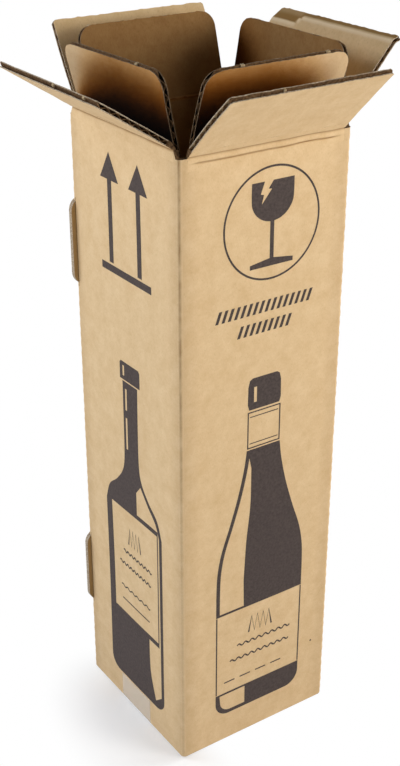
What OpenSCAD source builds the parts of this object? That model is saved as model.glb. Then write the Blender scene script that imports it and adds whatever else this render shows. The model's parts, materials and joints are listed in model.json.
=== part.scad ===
// Single-bottle shipping carton of corrugated board: a folded carton with a taped base,
// a nested sleeve that doubles its walls, and eight open top flaps.
// Millimetres, +Z up, origin at the middle of the base on the floor. The front faces -Y.

/* [Carton] */
// Outer width of the carton, left to right
carton_w = 110; // [90:1:140]
// Outer depth of the carton, front to back
carton_d = 110; // [90:1:140]
// Height of the front and back score lines above the floor
score_h = 382.5; // [300:0.5:450]
// Outside radius of the upright corner folds
corner_r = 2.5; // [1:0.1:4]
// Outside radius of the folds at the foot of the walls
foot_r = 2; // [0.5:0.1:3]
// Distance from the front and back score lines to the second crease below them
crease_pitch = 3.5; // [2:0.1:8]
// Depth of the second crease
crease_depth = 0.5; // [0.2:0.1:0.8]
// Gap between two base flaps that meet at the middle
base_seam = 0.8; // [0.2:0.1:3]
// Gap between a base flap and the walls beside it
base_side_clear = 0.4; // [0.2:0.1:2]

/* [Board] */
// Thickness of the corrugated board
board_t = 3; // [2.5:0.1:4]
// Thickness of each flat liner
liner_t = 0.35; // [0.2:0.05:0.6]
// Thickness of the wavy medium between the liners
medium_t = 0.3; // [0.2:0.05:0.5]
// Pitch of the flutes
flute_pitch = 6.4; // [4:0.1:9]
// Length of board crushed flat beyond a score line
crush_l = 2; // [1:0.1:5]

/* [Sleeve] */
// Gap between the carton wall and the sleeve
sleeve_gap = 1.8; // [0.8:0.1:4]
// Drop from the carton's front and back score lines to those of the sleeve
sleeve_drop = 0.2; // [0:0.1:6]

/* [Flaps] */
// Gap left between opposite carton flaps when they are closed
outer_flap_gap = 9; // [2:0.5:30]
// Gap left between opposite sleeve flaps when they are closed
inner_flap_gap = 10; // [2:0.2:30]
// Gap between the side edge of the front or back carton flap and the inner face of the wall beside it
outer_front_clear = 2.5; // [0.5:0.1:6]
// Gap between the side edge of the left or right carton flap and the inner face of the wall beside it
outer_side_clear = 1.5; // [0.5:0.1:6]
// Gap between the side edge of the front or back sleeve flap and the inner face of the wall beside it
inner_front_clear = 3; // [0.4:0.1:6]
// Gap between the side edge of the left or right sleeve flap and the inner face of the wall beside it
inner_side_clear = 0.7; // [0.4:0.1:6]
// Corner radius of the carton flaps
outer_flap_r = 1.2; // [0.5:0.1:6]
// Corner radius of the sleeve flaps
inner_flap_r = 9; // [2:0.5:20]
// Gap between the two flap layers of the carton when closed
outer_layer_clear = 1; // [0.3:0.1:3]
// Gap between the two flap layers of the sleeve when closed
inner_layer_clear = 0.3; // [0.2:0.1:2]
// Half of the hairline gap along a score line
score_gap = 0.15; // [0.1:0.05:0.3]
// Depth of the corner slots below the lower score lines
slot_drop = 0.3; // [0.2:0.1:4]

/* [Flap tilt] */
// Outward tilt of the front carton flap from upright
front_tilt = 44; // [40:0.5:80]
// Outward tilt of the left carton flap from upright
left_tilt = 57; // [40:0.5:80]
// Outward tilt of the back carton flap from upright
back_tilt = 33; // [30:0.5:80]
// Outward tilt of the right carton flap from upright
right_tilt = 44.5; // [40:0.5:80]
// Outward tilt of the front sleeve flap from upright
inner_front_tilt = 14.5; // [0:0.5:17]
// Outward tilt of the left sleeve flap from upright
inner_left_tilt = 14.5; // [0:0.5:16]
// Outward tilt of the back sleeve flap from upright
inner_back_tilt = 15; // [0:0.5:17]
// Outward tilt of the right sleeve flap from upright
inner_right_tilt = 12; // [0:0.5:16]

/* [Corner tabs] */
// Length of each die-cut tab at the left rear corner
tab_l = 49.5; // [20:0.5:80]
// How far a tab stands proud of the left wall
tab_proud = 2.7; // [1:0.1:6]
// Radius of the arc that ends a tab
tab_end_r = 8; // [6.5:0.5:20]
// Height of the lower end of the lower tab
tab_low_z = 58; // [30:1:120]
// Distance from the front and back score lines down to the upper end of the upper tab
tab_high_drop = 50; // [20:1:120]
// Width of the cut that frees a tab from the left wall
tab_slit = 0.4; // [0.2:0.1:1.5]
// Length by which that cut runs past each end of the tab
tab_cut_past = 2.2; // [0.5:0.1:5]

/* [Tape] */
// Width of the tape over the base seam
tape_w = 34; // [20:1:75]
// Height that the tape reaches up the left and right walls
tape_rise = 19; // [15:1:80]
// Thickness of the tape, which is pressed flush into the board
tape_t = 0.12; // [0.05:0.01:0.3]

/* [Hidden] */

$fn = 48;

kraft = [0.78, 0.66, 0.48];
kraft_shade = [0.66, 0.54, 0.38];
clear_film = [0.85, 0.8, 0.7, 0.4];

// Turn about Z from the front to each side
front_turn = 0;
left_turn = -90;
back_turn = 180;
right_turn = 90;
// Lays a profile drawn as thickness and height out along X
along_x = [90, 0, 90];
// Stands an outline drawn as width and height up, facing the front
facing_front = [90, 0, 0];

// Length by which a cutting solid overshoots what it cuts
overcut = 1;

// Score lines: the left and right carton flaps close over the front and back ones,
// and the front and back sleeve flaps close over the left and right ones
side_score_h = score_h + board_t + outer_layer_clear;
inner_score_h = score_h - sleeve_drop;
inner_side_score_h = inner_score_h - board_t - inner_layer_clear;

// Base: the left and right base flaps lie on the front and back ones
base_layer_z = board_t + inner_layer_clear;
base_top_z = base_layer_z + board_t;

// Sleeve, fitted inside the carton
sleeve_w = carton_w - 2 * (board_t + sleeve_gap);
sleeve_d = carton_d - 2 * (board_t + sleeve_gap);
sleeve_r = max(corner_r - board_t - sleeve_gap, board_t / 2);

// Wave of the medium
wave_a = (board_t - medium_t) / 2 - liner_t;
// Part of a pitch that a channel takes to either side of its crest
channel_half = 0.42;
channel_steps = 6;

// Height of the lower end of the upper tab
tab_high_z = score_h - tab_high_drop - tab_l;
// Vertical length of the arc that ends a tab
tab_arc_l = sqrt(pow(tab_end_r, 2) - pow(tab_end_r - tab_proud, 2));

// Rectangle centred on the origin with rounded corners
module rounded_rectangle(w, d, r) {
    square([w - 2 * r, d], center = true);
    square([w, d - 2 * r], center = true);
    for (x = [-1, 1], y = [-1, 1])
        translate([x * (w / 2 - r), y * (d / 2 - r)])
            circle(r);
}

// Rectangle on the baseline whose two lower corners are rounded
module round_footed(w, h, r) {
    translate([-w / 2, r])
        square([w, h - r]);
    translate([r - w / 2, 0])
        square([w - 2 * r, h]);
    for (x = [-1, 1])
        translate([x * (w / 2 - r), r])
            circle(r);
}

// Puts the front's children, drawn from its score line, on the side at this turn
module on_side(turn, reach, h) {
    rotate([0, 0, turn])
        translate([0, -reach, h])
            children();
}

// Removes what lies above a score line and bevels the edge so that a flap can close
module score_cut(span, rise) {
    rotate(along_x)
        linear_extrude(span, center = true)
            polygon([
                [-overcut, overcut - score_gap],
                [board_t + overcut, -score_gap - board_t - overcut],
                [board_t + overcut, rise],
                [-overcut, rise]]);
}

// Four folded walls with slotted corners, open at the top and bottom.
// One clearance is beside the front and back flaps, the other beside the left and right ones.
module scored_walls(w, d, r, foot_z, front_score, side_score, front_clear, side_clear) {
    top = max(front_score, side_score);
    slot_w = board_t + front_clear;
    slot_d = board_t + side_clear;
    slot_z = min(front_score, side_score) - slot_drop;
    rise = top - slot_z + board_t;
    slot_x = (w - slot_w + overcut) / 2;
    slot_y = (d - slot_d + overcut) / 2;
    difference() {
        translate([0, 0, foot_z])
            linear_extrude(top - foot_z)
                difference() {
                    rounded_rectangle(w, d, r);
                    square([w - 2 * board_t, d - 2 * board_t], center = true);
                }
        for (turn = [front_turn, back_turn])
            on_side(turn, d / 2, front_score)
                score_cut(w - 2 * slot_w, rise);
        for (turn = [left_turn, right_turn])
            on_side(turn, w / 2, side_score)
                score_cut(d - 2 * slot_d, rise);
        for (x = [-1, 1], y = [-1, 1])
            translate([x * slot_x, y * slot_y, slot_z + rise / 2])
                cube([slot_w + overcut, slot_d + overcut, rise], center = true);
    }
}

// Pair of base flaps that meet at the middle, front and back
module base_flap_pair(w, d, z) {
    span = w - 2 * (board_t + base_side_clear);
    for (side = [-1, 1])
        translate([0, side * (d / 4 + base_seam / 4), z + board_t / 2])
            cube([span, d / 2 - base_seam / 2, board_t], center = true);
}

// Shallow crease pressed into the front of a wall
module crease(span) {
    rotate(along_x)
        linear_extrude(span, center = true)
            polygon([
                [-crease_depth, 2 * crease_depth],
                [crease_depth, 0],
                [-crease_depth, -2 * crease_depth]]);
}

// Outline of a corner tab, drawn outward from the wall's face and into the board behind it
module tab_outline() {
    translate([-board_t, tab_arc_l])
        square([board_t + tab_proud, tab_l - 2 * tab_arc_l]);
    for (z = [tab_arc_l, tab_l - tab_arc_l])
        intersection() {
            translate([tab_proud - tab_end_r, z])
                circle(tab_end_r);
            translate([-board_t, -tab_end_r])
                square([board_t + 2 * tab_proud, tab_l + 2 * tab_end_r]);
        }
}

// Tab of the back wall that stays flat where the corner folds
module corner_tab(z) {
    translate([-carton_w / 2, carton_d / 2, z])
        mirror([1, 0, 0])
            rotate(facing_front)
                linear_extrude(board_t)
                    tab_outline();
}

// Cut in the left wall beside a corner tab
module tab_cut(z) {
    translate([-carton_w / 2 - overcut, carton_d / 2 - board_t - tab_slit, z - tab_cut_past])
        cube([board_t + 2 * overcut, tab_slit, tab_l + 2 * tab_cut_past]);
}

// Walls of the carton, from the floor to its score lines
module carton_walls() {
    scored_walls(carton_w, carton_d, corner_r, 0, score_h, side_score_h,
        outer_front_clear, outer_side_clear);
}

// Folded carton: walls, base flaps, creases and corner tabs in one sheet
module outer_carton() {
    color(kraft)
        difference() {
            union() {
                intersection() {
                    union() {
                        carton_walls();
                        base_flap_pair(carton_w, carton_d, 0);
                        rotate([0, 0, right_turn])
                            base_flap_pair(carton_d, carton_w, base_layer_z);
                    }
                    rotate(facing_front)
                        linear_extrude(carton_d + overcut, center = true)
                            round_footed(carton_w, side_score_h + overcut, foot_r);
                    rotate(along_x)
                        linear_extrude(carton_w + overcut, center = true)
                            round_footed(carton_d, side_score_h + overcut, foot_r);
                }
                for (z = [tab_low_z, tab_high_z])
                    corner_tab(z);
            }
            for (turn = [front_turn, back_turn])
                on_side(turn, carton_d / 2, score_h - crease_pitch)
                    crease(carton_w - 2 * corner_r);
            for (z = [tab_low_z, tab_high_z])
                tab_cut(z);
            tape_strip();
        }
}

// Sleeve that stands on the base flaps
module inner_sleeve() {
    color(kraft_shade)
        scored_walls(sleeve_w, sleeve_d, sleeve_r, base_top_z,
            inner_score_h, inner_side_score_h, inner_front_clear, inner_side_clear);
}

// Strip that runs along the base seam and up the left and right walls
module tape_strip() {
    rotate(facing_front)
        linear_extrude(tape_w, center = true)
            difference() {
                round_footed(carton_w, tape_rise, foot_r);
                translate([0, tape_t])
                    round_footed(carton_w - 2 * tape_t, tape_rise, foot_r - tape_t);
            }
}

module base_tape() {
    color(clear_film)
        tape_strip();
}

// Channel between the medium and a liner, centred on its crest
module flute_channel() {
    crest = [for (i = [0 : channel_steps]) channel_half * (2 * i / channel_steps - 1)];
    polygon(concat(
        [[liner_t, flute_pitch * channel_half], [liner_t, -flute_pitch * channel_half]],
        [for (x = crest) [(board_t - medium_t) / 2 + wave_a * cos(360 * x), flute_pitch * x]]));
}

// Section of a flap from its score line to its free edge, with the flutes along the score line.
// The wave is counted from the free edge, which cuts a channel open.
module flap_section(depth) {
    flute_l = depth - board_t - crush_l;
    difference() {
        polygon([
            [0, score_gap],
            [board_t, score_gap + board_t],
            [board_t, depth],
            [0, depth]]);
        for (i = [0 : floor(flute_l / flute_pitch - channel_half)])
            translate([0, depth - i * flute_pitch])
                flute_channel();
        for (i = [0 : floor(flute_l / flute_pitch - channel_half - 1 / 2)])
            translate([board_t, depth - (i + 1 / 2) * flute_pitch])
                mirror([1, 0])
                    flute_channel();
    }
}

// Outline of a flap with its two free corners rounded
module flap_outline(w, depth, r) {
    translate([-w / 2, -overcut])
        square([w, depth - r + overcut]);
    translate([r - w / 2, 0])
        square([w - 2 * r, depth]);
    for (x = [-1, 1])
        translate([x * (w / 2 - r), depth - r])
            circle(r);
}

// Upright flap of corrugated board, its outer face and score line through the origin
module board_flap(w, depth, r) {
    intersection() {
        rotate(along_x)
            linear_extrude(w, center = true)
                flap_section(depth);
        translate([0, board_t / 2, 0])
            rotate(facing_front)
                linear_extrude(board_t + 2 * overcut, center = true)
                    flap_outline(w, depth, r);
    }
}

// Carton flap on the side at this turn, tilted outward
module outer_flap(turn, tilt) {
    fore = turn == front_turn || turn == back_turn;
    reach = fore ? carton_d : carton_w;
    h = fore ? score_h : side_score_h;
    w = fore ? carton_w - 2 * (board_t + outer_front_clear) : carton_d - 2 * (board_t + outer_side_clear);
    color(kraft)
        on_side(turn, reach / 2, h)
            rotate([tilt, 0, 0])
                board_flap(w, (reach - outer_flap_gap) / 2, outer_flap_r);
}

// Sleeve flap on the side at this turn, tilted outward
module inner_flap(turn, tilt) {
    fore = turn == front_turn || turn == back_turn;
    reach = fore ? sleeve_d : sleeve_w;
    h = fore ? inner_score_h : inner_side_score_h;
    w = fore ? sleeve_w - 2 * (board_t + inner_front_clear) : sleeve_d - 2 * (board_t + inner_side_clear);
    color(kraft_shade)
        on_side(turn, reach / 2, h)
            rotate([tilt, 0, 0])
                board_flap(w, (reach - inner_flap_gap) / 2, inner_flap_r);
}

module front_flap() {
    outer_flap(front_turn, front_tilt);
}

module left_flap() {
    outer_flap(left_turn, left_tilt);
}

module back_flap() {
    outer_flap(back_turn, back_tilt);
}

module right_flap() {
    outer_flap(right_turn, right_tilt);
}

module inner_front_flap() {
    inner_flap(front_turn, inner_front_tilt);
}

module inner_left_flap() {
    inner_flap(left_turn, inner_left_tilt);
}

module inner_back_flap() {
    inner_flap(back_turn, inner_back_tilt);
}

module inner_right_flap() {
    inner_flap(right_turn, inner_right_tilt);
}

outer_carton();
inner_sleeve();
base_tape();
front_flap();
left_flap();
back_flap();
right_flap();
inner_front_flap();
inner_left_flap();
inner_back_flap();
inner_right_flap();
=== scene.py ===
import json
import math

import bmesh
import bpy
from mathutils import Matrix, Vector, noise


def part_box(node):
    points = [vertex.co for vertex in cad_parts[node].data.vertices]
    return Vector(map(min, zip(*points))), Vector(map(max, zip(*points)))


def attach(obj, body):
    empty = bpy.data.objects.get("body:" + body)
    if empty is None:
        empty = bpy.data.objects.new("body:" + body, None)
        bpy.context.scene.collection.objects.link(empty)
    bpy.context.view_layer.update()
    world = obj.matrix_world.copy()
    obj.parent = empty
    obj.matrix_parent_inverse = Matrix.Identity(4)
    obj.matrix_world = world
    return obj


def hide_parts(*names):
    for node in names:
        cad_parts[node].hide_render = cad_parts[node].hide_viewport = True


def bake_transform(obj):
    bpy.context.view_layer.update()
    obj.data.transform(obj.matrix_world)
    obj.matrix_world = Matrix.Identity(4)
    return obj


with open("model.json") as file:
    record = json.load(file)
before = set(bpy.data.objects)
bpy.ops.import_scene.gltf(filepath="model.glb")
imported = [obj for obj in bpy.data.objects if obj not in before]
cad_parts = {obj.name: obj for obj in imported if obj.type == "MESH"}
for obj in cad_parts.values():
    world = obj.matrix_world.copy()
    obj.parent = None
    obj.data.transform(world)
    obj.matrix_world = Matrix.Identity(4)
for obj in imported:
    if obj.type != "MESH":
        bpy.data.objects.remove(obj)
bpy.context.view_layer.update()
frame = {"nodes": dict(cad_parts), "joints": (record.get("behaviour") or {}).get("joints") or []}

# Shapes are worked out in millimetres and turned to metres as each mesh is made.
MM = 0.001
UP = Vector((0, 0, 1))
# Edges that turn by more degrees than this are drawn sharp
SHARP_ANGLE = 35

# Board: single wall, two liners with a wavy medium between them
BOARD = 3.0
LINER = 0.5
MEDIUM = 0.3
FLUTE_PITCH = 6.4
# Layers whose materials a board has, and the material slots that faces name
LAYERS = ("Outer Liner", "Inner Liner", "Fluting", "Cut Edge")
OUTER_FACE, INNER_FACE, FLUTED_EDGE, CUT_FACE = range(4)

# Carton and sleeve
HINGES = {joint["child"]: joint for joint in frame["joints"]}
OUTER_FLAPS = ("front_flap", "right_flap", "back_flap", "left_flap")
INNER_FLAPS = tuple("inner_" + name for name in OUTER_FLAPS)
CORNER_R = 2.5
SLEEVE_CORNER_R = 1.5
INSIDE_CORNER_R = 0.4
FOOT_R = 2.0
# How far below the score line the slots between the flaps end
SLOT_DROP = 0.3

# Fold strips: how far one runs up the flap and down the wall from its score line. The carton's front and back
# walls have a second crease below the score line, and a longer strip.
FOLD_UP = 5.0
FOLD_DOWN = 6.0
CREASED = ("front_flap", "back_flap")
CREASED_DOWN = 7.0

# Base flaps: clearance at the sides, gap where two meet, and height of the pair that lies on the other pair
BASE_SIDE_CLEAR = 3.4
BASE_SEAM = 0.8
BASE_LAYER = 3.3
BASE_FLAPS = (("front_flap", 0.0), ("back_flap", 0.0), ("left_flap", BASE_LAYER), ("right_flap", BASE_LAYER))
BASE_SEED = 20

# Corner tabs at the left rear corner: heights, length, how far they stand out of the left wall and reach
# into it, radius of their ends, the slit in the left wall and how far it runs past a tab
TAB_LOW_Z = (58.0, 283.0)
TAB_L = 49.5
TAB_PROUD = 2.7
TAB_SUNK = 2.0
TAB_END_R = 8.0
TAB_SLIT = 0.4
TAB_CUT_PAST = 2.2
# How far a tab stands out of the rear wall's face, how much painted shade darkens its inner face, and steps
# round an end
TAB_LIFT = 0.02
TAB_PAINTED_SHADE = 0.8
TAB_STEPS = 10


# Small helpers

def linear(code):
    """sRGB hex colour as linear RGBA."""
    parts = [int(code[i:i + 2], 16) / 255 for i in (1, 3, 5)]
    return [c / 12.92 if c <= 0.04045 else ((c + 0.055) / 1.055) ** 2.4 for c in parts] + [1.0]


def add_node(tree, kind, inputs=None, stops=(), **settings):
    """Adds a node with its settings. An input takes a value, another node's output socket, or a node for its
    first output. The stops of a colour ramp are pairs of a position and a hex colour."""
    made = tree.nodes.new(kind)
    for name, value in settings.items():
        setattr(made, name, value)
    for key, value in (inputs or {}).items():
        if isinstance(value, bpy.types.Node):
            value = value.outputs[0]
        if isinstance(value, bpy.types.NodeSocket):
            tree.links.new(value, made.inputs[key])
        else:
            made.inputs[key].default_value = value
    for position, colour in stops:
        made.color_ramp.elements.new(position).color = linear(colour)
    if stops:
        # The first and last are the stops that a new ramp comes with
        ramp = made.color_ramp.elements
        ramp.remove(ramp[0])
        ramp.remove(ramp[-1])
    return made


def empty_tree(owner):
    """Node tree of a new material or world, with nothing in it."""
    owner.use_nodes = True
    owner.node_tree.nodes.clear()
    return owner.node_tree


def smooth_step(x):
    x = min(max(x, 0.0), 1.0)
    return x * x * (3 - 2 * x)


def bump_at(x, centre, width):
    """Bell curve of height 1."""
    return math.exp(-((x - centre) / width) ** 2)


def arc(x, z, r, start, end, steps):
    """Points of an arc between two angles in degrees."""
    angles = [math.radians(start + (end - start) * i / steps) for i in range(steps + 1)]
    return [(x + r * math.cos(a), z + r * math.sin(a)) for a in angles]


def heading(points, i):
    """Direction of a flat line of points at one of them."""
    before, after = points[max(i - 1, 0)], points[min(i + 1, len(points) - 1)]
    return Vector((after[0] - before[0], after[1] - before[1])).normalized()


def axes_matrix(x, y, z, origin):
    """Matrix that takes local axes to these directions and the local origin to this point, in mm."""
    turn = Matrix((x, y, z)).transposed().to_4x4()
    return Matrix.Translation(origin) @ turn


def link_object(name, data):
    piece = bpy.data.objects.new(name, data)
    bpy.context.scene.collection.objects.link(piece)
    return piece


def plain_mesh(source, name):
    """Mesh of an object as its node tree or its curve gives it. The object is taken away."""
    graph = bpy.context.evaluated_depsgraph_get()
    mesh = bpy.data.meshes.new_from_object(source.evaluated_get(graph))
    bpy.data.objects.remove(source)
    mesh.name = name
    return mesh


def shade(mesh):
    mesh.shade_smooth()
    mesh.set_sharp_from_angle(angle=math.radians(SHARP_ANGLE))


def mesh_piece(name, points, faces, materials, face_slots=None, sheet=None, wear_and_painted_light=None):
    """Mesh object from points in mm. sheet is each point's place on the flat board, and the last list how
    rubbed each point is and how much painted shade and painted highlight it has.
    """
    mesh = bpy.data.meshes.new(name)
    mesh.from_pydata([Vector(p) * MM for p in points], [], faces)
    for material in materials:
        mesh.materials.append(material)
    if face_slots:
        mesh.polygons.foreach_set("material_index", face_slots)
    if sheet:
        field = mesh.attributes.new("sheet", "FLOAT_VECTOR", "POINT")
        field.data.foreach_set("vector", [c * MM for p in sheet for c in p])
    if wear_and_painted_light:
        field = mesh.attributes.new("wear_and_painted_light", "FLOAT", "POINT")
        field.data.foreach_set("value", wear_and_painted_light)
    mesh.validate()
    shade(mesh)
    return link_object(name, mesh)


def prism_faces(count):
    """Ends and sides of a prism whose outline has this many points."""
    faces = [tuple(range(count)), tuple(range(2 * count - 1, count - 1, -1))]
    return faces + [(i, count + i, count + (i + 1) % count, (i + 1) % count) for i in range(count)]


def bent_sheet_faces(columns, count):
    """Faces of a thick sheet and their material slots. Each column holds the outer face's points and then
    the inner face's."""
    faces, slots = [], []
    for column in range(columns):
        here, there = column * 2 * count, (column + 1) * 2 * count
        for i in range(count - 1):
            faces.append((here + i, there + i, there + i + 1, here + i + 1))
            slots.append(OUTER_FACE)
            a, b = here + count, there + count
            faces.append((a + i, a + i + 1, b + i + 1, b + i))
            slots.append(INNER_FACE)
        for i in (0, count - 1):
            ring = (here + i, here + count + i, there + count + i, there + i)
            faces.append(ring if i == 0 else ring[::-1])
            slots.append(FLUTED_EDGE)
    for column in (0, columns):
        here = column * 2 * count
        for i in range(count - 1):
            ring = (here + i, here + i + 1, here + count + i + 1, here + count + i)
            faces.append(ring if column == 0 else ring[::-1])
            slots.append(FLUTED_EDGE)
    return faces, slots


def outward_faces(piece):
    """Turns the faces of a closed mesh outward."""
    mesh = bmesh.new()
    mesh.from_mesh(piece.data)
    bmesh.ops.recalc_face_normals(mesh, faces=mesh.faces)
    mesh.to_mesh(piece.data)
    mesh.free()


def settle(piece, body, slot, *nodes):
    """Rides the piece on its body and hides the nodes that it stands for. slot is not used."""
    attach(piece, body)
    if nodes:
        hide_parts(*nodes)
    return piece


# Sides and flaps, read from the frame

def side_frame(child):
    """Direction along a score line, outward direction and score line's middle, in mm."""
    joint = HINGES[child]
    along = Vector(joint["axis"])
    return along, along.cross(UP), Vector(joint["pos_m"]) / MM


def wall_reach(child):
    """Distance of a wall's outer face from the middle of the box."""
    return side_frame(child)[2].xy.length


def wall_matrix(child):
    """Local X along the wall, Y inward from its outer face, Z up from the floor."""
    along, outward, hinge = side_frame(child)
    return axes_matrix(along, -outward, UP, Vector((hinge.x, hinge.y, 0)))


def leaned(outward, tilt):
    """Upward direction, leaned outward by this tilt."""
    return outward * math.sin(tilt) + UP * math.cos(tilt)


def flap_measure(child):
    """Tilt from upright, depth and width of a flap as the solid has them."""
    along, outward, hinge = side_frame(child)
    points = [vertex.co / MM - hinge for vertex in frame["nodes"][child].data.vertices]
    far = [p for p in points if math.hypot(p.dot(outward), p.z) > 5 * BOARD]
    tilt = max(math.atan2(p.dot(outward), p.z) for p in far)
    reach = leaned(outward, tilt)
    depth = max(p.dot(reach) for p in far)
    width = 2 * max(abs(p.dot(along)) for p in far)
    return tilt, depth, width


def flap_matrix(child, tilt):
    """Local X along the score line, Y inward from the outer face, Z along the flap."""
    along, outward, hinge = side_frame(child)
    inward = UP * math.sin(tilt) - outward * math.cos(tilt)
    return axes_matrix(along, inward, leaned(outward, tilt), hinge)


# Materials

# Sizes in mm: clouds of pulp, fibres drawn large enough to show, and the depth of the paper's relief
CLOUD = 11.0
FIBRE_L = 1.4
FIBRE_W = 0.45
PAPER_RELIEF = 0.05

# Pale kraft of a painted highlight on the crest of a bent rim
PAINTED_HIGHLIGHT = "#f7e6c8"

# How far round a sheet another sheet is looked for, in mm, and with how many rays. Then shares of the full
# opening of a gap between sheets, and the painted shade that tints kraft there.
GAP_REACH = 60.0
GAP_SAMPLES = 48
GAP_PAINTED_SHADE_TINTS = ((0.36, "#060100"), (0.47, "#7a4d15"), (0.62, "#ae854c"), (0.78, "#f2e0c4"),
               (1.0, "#ffffff"))

# Weak spots in ink, the lines of a drawn film, and their relief, in mm
INK_SPOT = 1.5
FILM_LINE_L = 40.0
FILM_LINE_W = 1.0
FILM_RELIEF = 0.02


def board_material(name, light, dark, fibre_dark, fibre_light, worn_and_painted_light, lit_from=None, full=1.0):
    """Kraft paper pressed on flutes: soft clouds of two browns, short fibres, faint flute lines, and a tint
    on folds, rims and tabs that is rubbing on corners and painted shade and painted highlight elsewhere.
    Nested board, lit from one side, has painted shade: it goes to the deep warm brown of light between facing
    sheets of kraft, and is plain again where this full share of the sky is open."""
    material = bpy.data.materials.new(name)
    tree = empty_tree(material)
    sheet = add_node(tree, "ShaderNodeAttribute", attribute_name="sheet").outputs["Vector"]
    clouds = add_node(tree, "ShaderNodeTexNoise",
                      {"Vector": sheet, "Scale": 1 / (CLOUD * MM), "Detail": 6.0, "Roughness": 0.78})
    pulp = add_node(tree, "ShaderNodeValToRGB", {"Fac": clouds}, stops=((0.36, dark), (0.64, light)))
    # Fibres run across the flutes
    stretch = add_node(tree, "ShaderNodeMapping",
                       {"Vector": sheet, "Scale": [1 / (size * MM) for size in (FIBRE_W, FIBRE_W, FIBRE_L)]})
    fibres = add_node(tree, "ShaderNodeTexNoise",
                      {"Vector": stretch, "Scale": 1.0, "Detail": 3.0, "Roughness": 0.65})
    dark_share = add_node(tree, "ShaderNodeMapRange",
                          {"Value": fibres, "From Min": 0.56, "From Max": 0.76, "To Max": 0.5})
    light_share = add_node(tree, "ShaderNodeMapRange",
                           {"Value": fibres, "From Min": 0.42, "From Max": 0.24, "To Max": 0.5})
    # Rubbing on corners, and painted shade on creases, bent rims and tabs, mix toward the given tint, a
    # darker brown; inside the sleeve that tint is paler, a painted highlight on its creases. Below nothing
    # the value mixes toward a pale painted highlight.
    wear_and_painted_light = add_node(tree, "ShaderNodeAttribute", attribute_name="wear_and_painted_light").outputs["Fac"]
    painted_highlight_share = add_node(tree, "ShaderNodeMath", {0: wear_and_painted_light, 1: -1.0}, operation="MULTIPLY")
    colour = pulp.outputs["Color"]
    for share, tint in ((dark_share, fibre_dark), (light_share, fibre_light), (wear_and_painted_light, worn_and_painted_light), (painted_highlight_share, PAINTED_HIGHLIGHT)):
        tinted = add_node(tree, "ShaderNodeMix",
                          {"Factor": share, 6: colour, 7: linear(tint)}, data_type="RGBA")
        colour = tinted.outputs[2]
    if lit_from:
        # Painted shade: gaps between sheets darken the colour. They are looked for more toward the side that
        # the light comes from
        facing = add_node(tree, "ShaderNodeNewGeometry").outputs["Normal"]
        leaning = add_node(tree, "ShaderNodeVectorMath", {0: facing, 1: lit_from}, operation="ADD")
        open_sky = add_node(tree, "ShaderNodeAmbientOcclusion",
                            {"Distance": GAP_REACH * MM, "Normal": leaning}, samples=GAP_SAMPLES)
        opened = add_node(tree, "ShaderNodeMath", {0: open_sky.outputs["AO"], 1: full}, operation="DIVIDE")
        depth = add_node(tree, "ShaderNodeValToRGB", {"Fac": opened}, stops=GAP_PAINTED_SHADE_TINTS)
        shaded = add_node(tree, "ShaderNodeMix", {"Factor": 1.0, 6: colour, 7: depth},
                          data_type="RGBA", blend_type="MULTIPLY")
        colour = shaded.outputs[2]
    # Flutes show through as faint waves at their own pitch
    split = add_node(tree, "ShaderNodeSeparateXYZ", {"Vector": sheet})
    turns = add_node(tree, "ShaderNodeMath",
                     {0: split.outputs["Z"], 1: 2 * math.pi / (FLUTE_PITCH * MM)}, operation="MULTIPLY")
    flutes = add_node(tree, "ShaderNodeMath", {0: turns}, operation="SINE")
    height = add_node(tree, "ShaderNodeMath", {0: fibres, 1: 0.5, 2: flutes}, operation="MULTIPLY_ADD")
    relief = add_node(tree, "ShaderNodeBump",
                      {"Strength": 0.6, "Distance": PAPER_RELIEF * MM, "Height": height})
    surface = add_node(tree, "ShaderNodeBsdfPrincipled",
                       {"Base Color": colour, "Roughness": 0.82,
                        "Specular IOR Level": 0.06 if lit_from else 0.25, "Normal": relief})
    add_node(tree, "ShaderNodeOutputMaterial", {"Surface": surface})
    return material


def paper_material(name, light, dark, grain):
    """Bare paper seen at a cut or inside a flute: matt, with fine uneven grain of this size in mm."""
    material = bpy.data.materials.new(name)
    tree = empty_tree(material)
    place = add_node(tree, "ShaderNodeTexCoord").outputs["Object"]
    clumps = add_node(tree, "ShaderNodeTexNoise", {"Vector": place, "Scale": 1 / (grain * MM), "Detail": 3.0})
    pulp = add_node(tree, "ShaderNodeValToRGB", {"Fac": clumps}, stops=((0.35, dark), (0.65, light)))
    relief = add_node(tree, "ShaderNodeBump",
                      {"Strength": 0.4, "Distance": PAPER_RELIEF * MM, "Height": clumps})
    surface = add_node(tree, "ShaderNodeBsdfPrincipled",
                       {"Base Color": pulp, "Roughness": 0.9, "Specular IOR Level": 0.15, "Normal": relief})
    add_node(tree, "ShaderNodeOutputMaterial", {"Surface": surface})
    return material


def ink_material():
    """Water-based printing ink that has sunk into kraft paper: matt, dark warm grey, a little uneven."""
    material = bpy.data.materials.new("flexo_ink_on_kraft")
    tree = empty_tree(material)
    place = add_node(tree, "ShaderNodeTexCoord").outputs["Object"]
    spots = add_node(tree, "ShaderNodeTexNoise",
                     {"Vector": place, "Scale": 1 / (INK_SPOT * MM), "Detail": 4.0, "Roughness": 0.7})
    ink = add_node(tree, "ShaderNodeValToRGB", {"Fac": spots}, stops=((0.35, "#3d3433"), (0.75, "#544945")))
    surface = add_node(tree, "ShaderNodeBsdfPrincipled",
                       {"Base Color": ink, "Roughness": 0.75, "Specular IOR Level": 0.25})
    add_node(tree, "ShaderNodeOutputMaterial", {"Surface": surface})
    return material


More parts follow.
